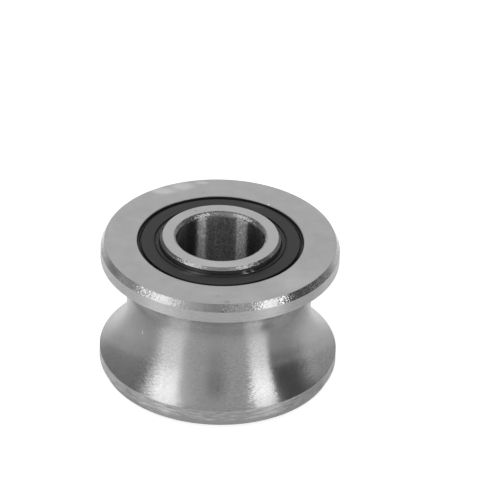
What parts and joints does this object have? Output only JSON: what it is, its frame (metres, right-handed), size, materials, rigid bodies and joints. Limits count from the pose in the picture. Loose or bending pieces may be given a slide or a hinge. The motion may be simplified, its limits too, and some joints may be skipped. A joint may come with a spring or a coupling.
{
  "type": "u-groove track roller",
  "caption": "Sealed ball bearing track roller with a round U groove in its thick outer ring, for running along a round rail on a fixed axle.",
  "frame": {"origin": "middle of the bore, halfway between the two ends", "axes": "+Z along the bore, which is the axis that the roller turns on; the two ends are alike"},
  "size_m": [0.0226, 0.0224, 0.0144],
  "materials": {
    "ring_steel": "satin",
    "ball_steel": "polished",
    "cage_nylon": "matte",
    "seal_rubber": "matte",
    "insert_steel": "satin"
  },
  "bodies": {
    "inner_ring": {"inner_ring": "ring_steel"},
    "outer_ring": {"outer_ring": "ring_steel", "seal_upper_rubber": "seal_rubber", "seal_upper_insert": "insert_steel", "seal_lower_rubber": "seal_rubber", "seal_lower_insert": "insert_steel"},
    "cage_upper": {"cage_upper": "cage_nylon"},
    "cage_lower": {"cage_lower": "cage_nylon"},
    "ball_upper_1": {"ball_upper_1": "ball_steel"},
    "ball_upper_2": {"ball_upper_2": "ball_steel"},
    "ball_upper_3": {"ball_upper_3": "ball_steel"},
    "ball_upper_4": {"ball_upper_4": "ball_steel"},
    "ball_upper_5": {"ball_upper_5": "ball_steel"},
    "ball_upper_6": {"ball_upper_6": "ball_steel"},
    "ball_upper_7": {"ball_upper_7": "ball_steel"},
    "ball_upper_8": {"ball_upper_8": "ball_steel"},
    "ball_lower_1": {"ball_lower_1": "ball_steel"},
    "ball_lower_2": {"ball_lower_2": "ball_steel"},
    "ball_lower_3": {"ball_lower_3": "ball_steel"},
    "ball_lower_4": {"ball_lower_4": "ball_steel"},
    "ball_lower_5": {"ball_lower_5": "ball_steel"},
    "ball_lower_6": {"ball_lower_6": "ball_steel"},
    "ball_lower_7": {"ball_lower_7": "ball_steel"},
    "ball_lower_8": {"ball_lower_8": "ball_steel"}
  },
  "joints": [
    {"name": "outer_ring_spin", "type": "hinge", "parent": "inner_ring", "child": "outer_ring", "pos_m": [0, 0, 0], "axis": [0, 0, 1], "continuous": true},
    {"name": "cage_upper_spin", "type": "hinge", "parent": "inner_ring", "child": "cage_upper", "pos_m": [0, 0, 0], "axis": [0, 0, 1], "continuous": true},
    {"name": "cage_lower_spin", "type": "hinge", "parent": "inner_ring", "child": "cage_lower", "pos_m": [0, 0, 0], "axis": [0, 0, 1], "continuous": true},
    {"name": "ball_upper_1_roll", "type": "hinge", "parent": "cage_upper", "child": "ball_upper_1", "pos_m": [0.0065, 0, 0.003], "axis": [0, 0, 1], "continuous": true},
    {"name": "ball_upper_2_roll", "type": "hinge", "parent": "cage_upper", "child": "ball_upper_2", "pos_m": [0.0046, 0.0046, 0.003], "axis": [0, 0, 1], "continuous": true},
    {"name": "ball_upper_3_roll", "type": "hinge", "parent": "cage_upper", "child": "ball_upper_3", "pos_m": [0, 0.0065, 0.003], "axis": [0, 0, 1], "continuous": true},
    {"name": "ball_upper_4_roll", "type": "hinge", "parent": "cage_upper", "child": "ball_upper_4", "pos_m": [-0.0046, 0.0046, 0.003], "axis": [0, 0, 1], "continuous": true},
    {"name": "ball_upper_5_roll", "type": "hinge", "parent": "cage_upper", "child": "ball_upper_5", "pos_m": [-0.0065, 0, 0.003], "axis": [0, 0, 1], "continuous": true},
    {"name": "ball_upper_6_roll", "type": "hinge", "parent": "cage_upper", "child": "ball_upper_6", "pos_m": [-0.0046, -0.0046, 0.003], "axis": [0, 0, 1], "continuous": true},
    {"name": "ball_upper_7_roll", "type": "hinge", "parent": "cage_upper", "child": "ball_upper_7", "pos_m": [0, -0.0065, 0.003], "axis": [0, 0, 1], "continuous": true},
    {"name": "ball_upper_8_roll", "type": "hinge", "parent": "cage_upper", "child": "ball_upper_8", "pos_m": [0.0046, -0.0046, 0.003], "axis": [0, 0, 1], "continuous": true},
    {"name": "ball_lower_1_roll", "type": "hinge", "parent": "cage_lower", "child": "ball_lower_1", "pos_m": [0.00601, 0.00249, -0.003], "axis": [0, 0, 1], "continuous": true},
    {"name": "ball_lower_2_roll", "type": "hinge", "parent": "cage_lower", "child": "ball_lower_2", "pos_m": [0.00249, 0.00601, -0.003], "axis": [0, 0, 1], "continuous": true},
    {"name": "ball_lower_3_roll", "type": "hinge", "parent": "cage_lower", "child": "ball_lower_3", "pos_m": [-0.00249, 0.00601, -0.003], "axis": [0, 0, 1], "continuous": true},
    {"name": "ball_lower_4_roll", "type": "hinge", "parent": "cage_lower", "child": "ball_lower_4", "pos_m": [-0.00601, 0.00249, -0.003], "axis": [0, 0, 1], "continuous": true},
    {"name": "ball_lower_5_roll", "type": "hinge", "parent": "cage_lower", "child": "ball_lower_5", "pos_m": [-0.00601, -0.00249, -0.003], "axis": [0, 0, 1], "continuous": true},
    {"name": "ball_lower_6_roll", "type": "hinge", "parent": "cage_lower", "child": "ball_lower_6", "pos_m": [-0.00249, -0.00601, -0.003], "axis": [0, 0, 1], "continuous": true},
    {"name": "ball_lower_7_roll", "type": "hinge", "parent": "cage_lower", "child": "ball_lower_7", "pos_m": [0.00249, -0.00601, -0.003], "axis": [0, 0, 1], "continuous": true},
    {"name": "ball_lower_8_roll", "type": "hinge", "parent": "cage_lower", "child": "ball_lower_8", "pos_m": [0.00601, -0.00249, -0.003], "axis": [0, 0, 1], "continuous": true}
  ],
  "couplings": [
    {"joint": "cage_upper_spin", "follows": "outer_ring_spin", "ratio": 0.61538},
    {"joint": "cage_lower_spin", "follows": "outer_ring_spin", "ratio": 0.61538},
    {"joint": "ball_upper_1_roll", "follows": "outer_ring_spin", "ratio": 2.0513},
    {"joint": "ball_upper_2_roll", "follows": "outer_ring_spin", "ratio": 2.0513},
    {"joint": "ball_upper_3_roll", "follows": "outer_ring_spin", "ratio": 2.0513},
    {"joint": "ball_upper_4_roll", "follows": "outer_ring_spin", "ratio": 2.0513},
    {"joint": "ball_upper_5_roll", "follows": "outer_ring_spin", "ratio": 2.0513},
    {"joint": "ball_upper_6_roll", "follows": "outer_ring_spin", "ratio": 2.0513},
    {"joint": "ball_upper_7_roll", "follows": "outer_ring_spin", "ratio": 2.0513},
    {"joint": "ball_upper_8_roll", "follows": "outer_ring_spin", "ratio": 2.0513},
    {"joint": "ball_lower_1_roll", "follows": "outer_ring_spin", "ratio": 2.0513},
    {"joint": "ball_lower_2_roll", "follows": "outer_ring_spin", "ratio": 2.0513},
    {"joint": "ball_lower_3_roll", "follows": "outer_ring_spin", "ratio": 2.0513},
    {"joint": "ball_lower_4_roll", "follows": "outer_ring_spin", "ratio": 2.0513},
    {"joint": "ball_lower_5_roll", "follows": "outer_ring_spin", "ratio": 2.0513},
    {"joint": "ball_lower_6_roll", "follows": "outer_ring_spin", "ratio": 2.0513},
    {"joint": "ball_lower_7_roll", "follows": "outer_ring_spin", "ratio": 2.0513},
    {"joint": "ball_lower_8_roll", "follows": "outer_ring_spin", "ratio": 2.0513}
  ]
}
